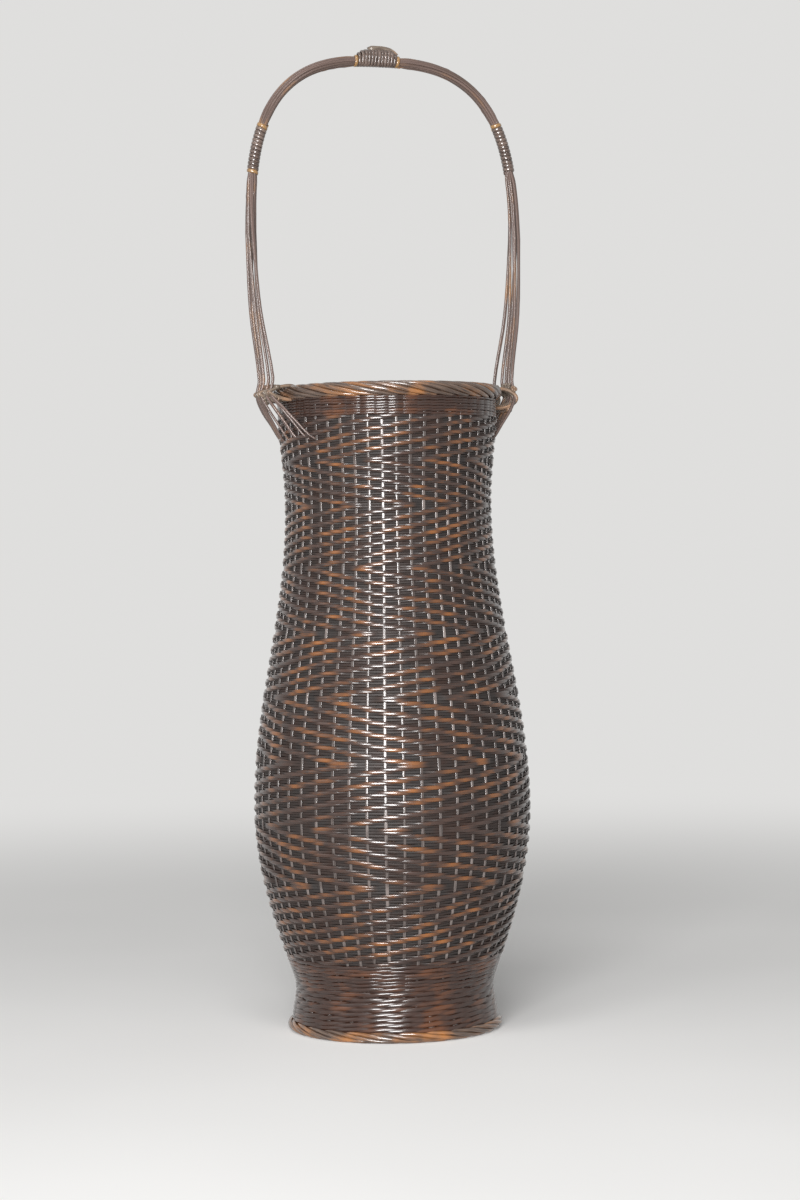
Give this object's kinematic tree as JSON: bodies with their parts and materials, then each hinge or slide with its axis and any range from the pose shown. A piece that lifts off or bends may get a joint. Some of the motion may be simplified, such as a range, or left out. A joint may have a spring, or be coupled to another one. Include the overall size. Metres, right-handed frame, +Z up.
{
  "type": "flower basket",
  "caption": "Tall woven flower basket with a swelling body, rolled borders, a high arched handle of bundled canes and a water tube that lifts out of its mouth.",
  "frame": {"origin": "centre of the foot's underside, on the surface that the basket stands on", "axes": "+Z up along the basket's axis; the handle's arch stands in the XZ plane and is seen square on along Y"},
  "size_m": [0.159, 0.1518, 0.5378],
  "materials": {
    "weft": "dark stained bamboo strip, glossy lacquer",
    "border": "dark stained rattan, glossy, orange-brown where worn",
    "stake": "dark stained bamboo splint, satin",
    "cane": "greyed brown cane, satin",
    "binding": "dark split rattan, glossy",
    "tie": "pale split rattan, satin",
    "bamboo_tube": "bare bamboo culm, satin"
  },
  "bodies": {
    "basket": {"foot_border": "border", "mouth_border": "border", "foot_band": "weft", "base_band": "weft", "weft_band_1": "weft", "weft_band_2": "weft", "weft_band_3": "weft", "weft_band_4": "weft", "weft_band_5": "weft", "weft_band_6": "weft", "weft_band_7": "weft", "weft_band_8": "weft", "weft_band_9": "weft", "neck_band": "weft", "base_mat": "stake", "stake_cage": "stake", "handle_cane_1": "cane", "handle_cane_2": "cane", "handle_cane_3": "cane", "handle_cane_4": "cane", "handle_cane_5": "cane", "binding_left": "binding", "binding_right": "binding", "binding_crown": "binding", "crown_tuck": "binding", "rim_tie_left_1": "tie", "rim_tie_left_2": "tie", "rim_tie_left_3": "tie", "rim_tie_left_4": "tie", "rim_tie_left_5": "tie", "rim_tie_right_1": "tie", "rim_tie_right_2": "tie", "rim_tie_right_3": "tie", "rim_tie_right_4": "tie", "rim_tie_right_5": "tie"},
    "liner": {"water_tube": "bamboo_tube"}
  },
  "joints": [
    {"name": "tube_lift", "type": "slide", "parent": "basket", "child": "liner", "axis": [0, 0, 1], "range_m": [0, 0.19]}
  ]
}
